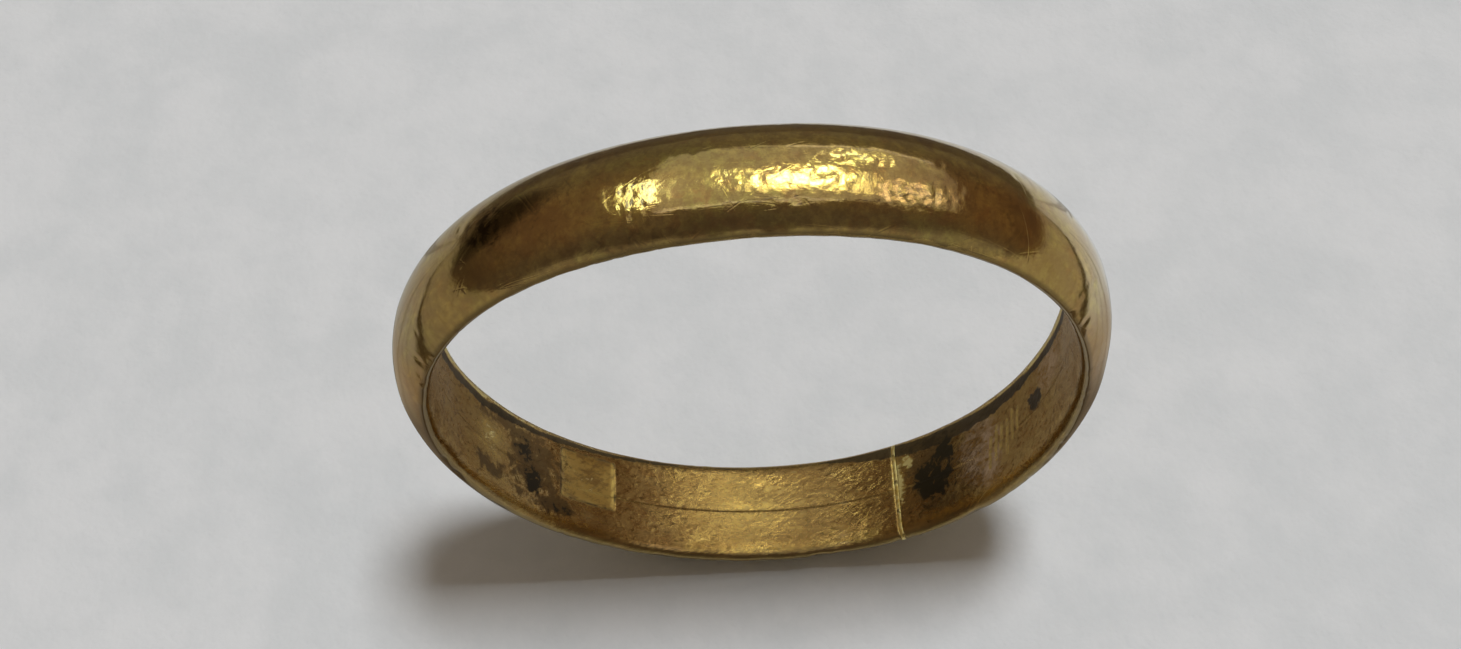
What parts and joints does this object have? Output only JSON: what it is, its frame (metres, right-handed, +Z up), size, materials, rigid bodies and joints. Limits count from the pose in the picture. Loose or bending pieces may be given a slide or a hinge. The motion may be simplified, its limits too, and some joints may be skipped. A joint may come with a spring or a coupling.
{
  "type": "wedding band",
  "caption": "Plain yellow gold wedding band with a low D-shaped section, a flat inside wall and a soldered joint, standing on its rim.",
  "frame": {"origin": "centre of the finger hole, half way across the band's width", "axes": "+Y runs along the finger through the hole, +Z is up with the ring standing on its rim, +X to the right"},
  "size_m": [0.0196, 0.0032, 0.0196],
  "materials": {
    "gold": "worn polished yellow gold, about 22 carat",
    "gold_solder": "yellow gold solder, slightly paler than the band"
  },
  "bodies": {
    "root": {"shank": "gold", "solder_seam": "gold_solder"}
  },
  "joints": []
}
